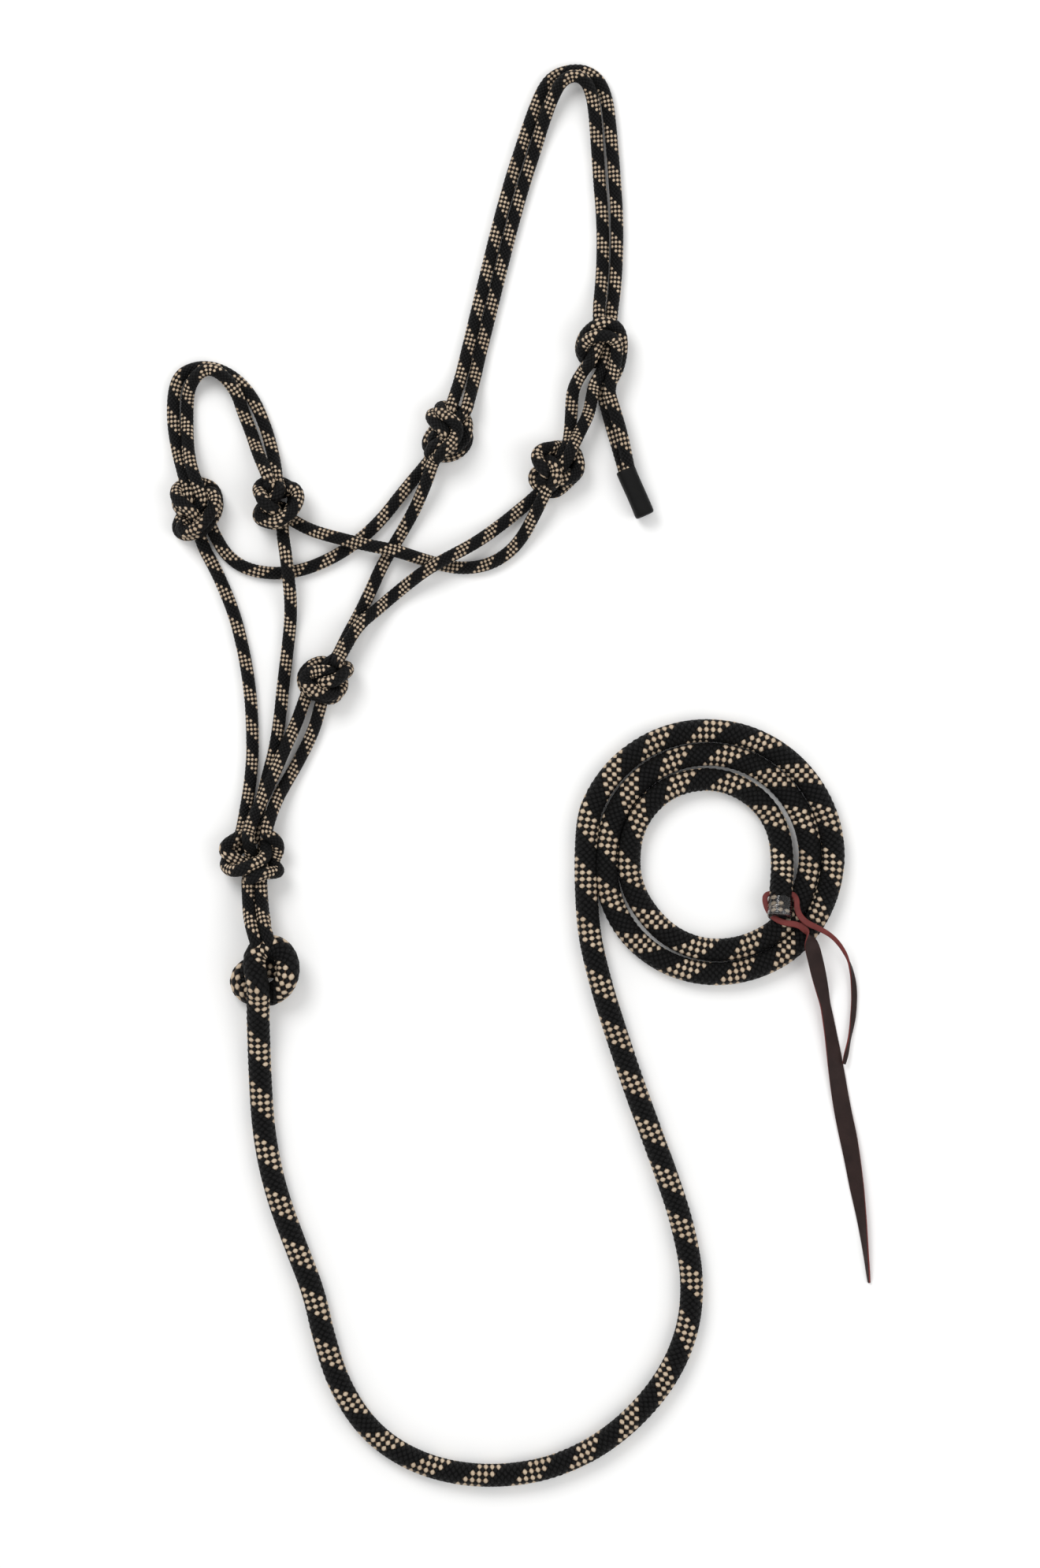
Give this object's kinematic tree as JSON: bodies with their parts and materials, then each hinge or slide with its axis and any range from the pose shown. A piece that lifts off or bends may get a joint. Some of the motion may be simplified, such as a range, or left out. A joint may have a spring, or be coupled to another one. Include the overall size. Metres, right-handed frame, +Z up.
{
  "type": "rope halter",
  "caption": "Knotted rope halter lying flat, its crown tied at the side, with a lead rope that ends in a flat coil and a leather popper.",
  "frame": {"origin": "on the ground under the middle of the halter and the lead's knot, as it lies flat", "axes": "+Z up from the ground; +Y from the lead towards the crown, along the halter's length; +X towards the side where the crown is tied"},
  "size_m": [0.4504, 0.9012, 0.036],
  "materials": {
    "halter_cord": "tightly braided polyester cord, black with tan flecks in a slanting band",
    "lead_rope": "thick braided polyester rope, black with tan flecks in a slanting band",
    "black_sleeve": "black shrink sleeve, satin",
    "clear_whipping": "clear shrink film, glossy",
    "popper_leather": "dark brown latigo leather with a red-brown flesh side"
  },
  "bodies": {
    "halter": {"noseband_cord_outer": "halter_cord", "noseband_cord_inner": "halter_cord", "jaw_cord_left": "halter_cord", "jaw_cord_right": "halter_cord", "cheek_cord_left": "halter_cord", "cheek_cord_right": "halter_cord", "throat_cord_left": "halter_cord", "throat_cord_right": "halter_cord", "chin_cord_left": "halter_cord", "chin_cord_right": "halter_cord", "crown_cord_outer": "halter_cord", "crown_cord_inner": "halter_cord", "eye_cord_left": "halter_cord", "eye_cord_right": "halter_cord", "lead_loop_lower": "halter_cord", "lead_loop_upper": "halter_cord", "nose_knot_left": "halter_cord", "nose_knot_right": "halter_cord", "throat_knot_left": "halter_cord", "throat_knot_right": "halter_cord", "chin_knot": "halter_cord", "fiador_knot": "halter_cord", "crown_tie": "halter_cord"},
    "crown_tail": {"tail_cord_lower": "halter_cord", "tail_cord_upper": "halter_cord", "tail_sleeve": "black_sleeve"},
    "lead": {"lead_knot": "lead_rope", "lead_rope": "lead_rope", "lead_coil": "lead_rope", "lead_rope_end": "lead_rope", "lead_end_whipping": "clear_whipping", "popper_loop": "popper_leather"},
    "popper": {"popper_strap": "popper_leather", "popper_lace": "popper_leather"}
  },
  "joints": [
    {"name": "lead_swing", "type": "hinge", "parent": "halter", "child": "lead", "pos_m": [-0.0965, -0.2475, 0], "axis": [0, 0, 1], "range_deg": [-45, 20]},
    {"name": "crown_tail_swing", "type": "hinge", "parent": "halter", "child": "crown_tail", "pos_m": [0.124, 0.0845, 0], "axis": [0, 0, 1], "range_deg": [-8, 40]},
    {"name": "popper_swing", "type": "hinge", "parent": "lead", "child": "popper", "pos_m": [0.2465, -0.242, 0], "axis": [0, 0, 1], "range_deg": [-20, 20]}
  ]
}
